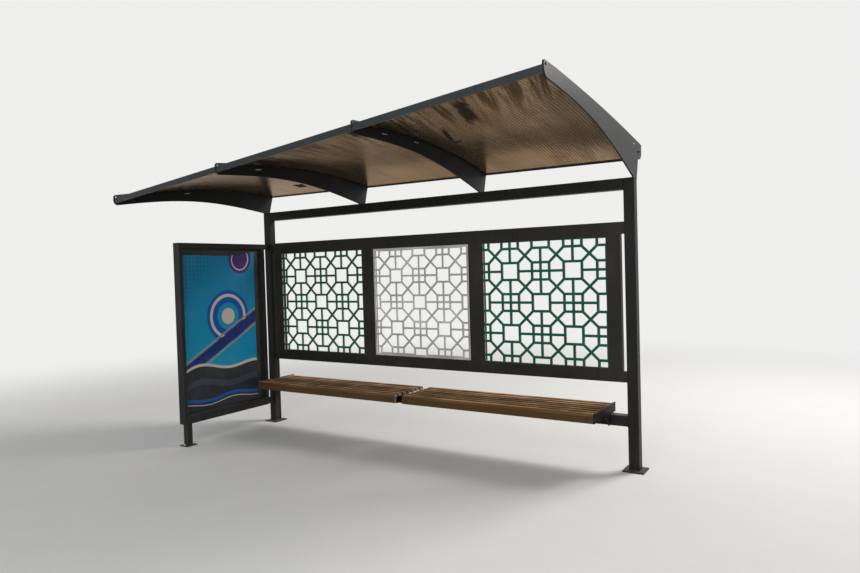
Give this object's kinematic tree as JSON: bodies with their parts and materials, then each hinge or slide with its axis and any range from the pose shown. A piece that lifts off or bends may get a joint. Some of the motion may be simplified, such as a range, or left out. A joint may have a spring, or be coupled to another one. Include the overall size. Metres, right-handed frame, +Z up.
{
  "type": "bus shelter",
  "caption": "Open bus shelter with a twisted curved roof on tapered arms, a lattice back screen, a slatted bench and a poster box set square to the wall.",
  "frame": {"origin": "middle of the left post's base plate, on its underside at ground level", "axes": "+X along the shelter to the right post, -Y towards the open side that the roof covers, +Z up"},
  "size_m": [3.91, 1.884, 2.6158],
  "materials": {
    "post_paint": "satin",
    "arm_paint": "satin",
    "roof_sheet": "gloss",
    "fascia_paint": "satin",
    "channel_paint": "satin",
    "lattice_green": "satin",
    "lattice_silver": "satin",
    "seat_wood": "satin",
    "apron_wood": "satin",
    "bracket_paint": "satin",
    "box_paint": "satin",
    "board": "matte",
    "poster": "gloss"
  },
  "bodies": {
    "root": {"base_plate_left": "post_paint", "base_plate_right": "post_paint", "post_left": "post_paint", "post_right": "post_paint", "top_beam": "post_paint", "roof_arm_1": "arm_paint", "roof_arm_2": "arm_paint", "roof_arm_3": "arm_paint", "roof_arm_4": "arm_paint", "sheet_ledges_left": "channel_paint", "sheet_ledges_middle": "channel_paint", "sheet_ledges_right": "channel_paint", "roof_sheet_left": "roof_sheet", "roof_sheet_middle": "roof_sheet", "roof_sheet_right": "roof_sheet", "roof_fascia": "fascia_paint", "roof_rear_channel": "channel_paint", "screen_top_rail": "post_paint", "screen_bottom_rail": "post_paint", "end_stile_left": "post_paint", "end_stile_right": "post_paint", "middle_stile_left": "post_paint", "middle_stile_right": "post_paint", "lattice_left": "lattice_green", "lattice_middle": "lattice_silver", "lattice_right": "lattice_green", "bench_rail": "post_paint", "seat_slats_left": "seat_wood", "seat_slats_right": "seat_wood", "seat_apron_left": "apron_wood", "seat_apron_right": "apron_wood", "seat_end_plate_left": "bracket_paint", "seat_end_plate_right": "bracket_paint", "seat_bracket_left": "bracket_paint", "seat_bracket_right": "bracket_paint", "poster_box_front_bar": "box_paint", "poster_box_rear_bar": "box_paint", "poster_box_top_bar": "box_paint", "poster_box_bottom_bar": "box_paint", "poster_board": "board", "posters": "poster", "poster_box_leg": "box_paint", "poster_box_foot": "post_paint", "poster_box_links": "box_paint"}
  },
  "joints": []
}
